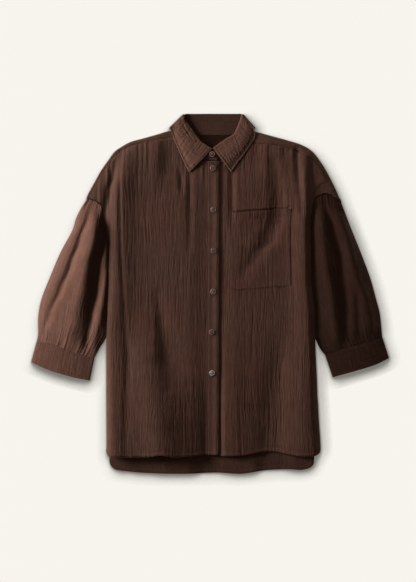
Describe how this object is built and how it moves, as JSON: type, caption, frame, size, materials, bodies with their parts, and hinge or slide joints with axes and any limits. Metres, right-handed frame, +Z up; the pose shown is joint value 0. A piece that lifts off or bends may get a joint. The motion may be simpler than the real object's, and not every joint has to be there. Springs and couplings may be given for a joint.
{
  "type": "cheesecloth shirt",
  "caption": "Crinkled cotton button-through shirt with a pointed collar, a chest pocket and gathered sleeves, laid flat on its back.",
  "frame": {"origin": "centre of the shirt's outline, on the surface that it lies on", "axes": "+Z up from the surface, +Y from the hem to the collar, +X towards the wearer's left side"},
  "size_m": [0.7694, 0.7731, 0.0204],
  "materials": {
    "cloth": "matte crinkled weave",
    "button": "semi-gloss"
  },
  "bodies": {
    "root": {"back": "cloth", "yoke": "cloth", "front_right": "cloth", "front_left": "cloth", "button_band": "cloth", "under_band": "cloth", "pocket": "cloth", "collar_stand": "cloth", "collar": "cloth", "sleeve_right": "cloth", "sleeve_left": "cloth", "cuff_right": "cloth", "cuff_left": "cloth", "button_1": "button", "button_2": "button", "button_3": "button", "button_4": "button", "button_5": "button", "button_6": "button", "button_7": "button"}
  },
  "joints": []
}
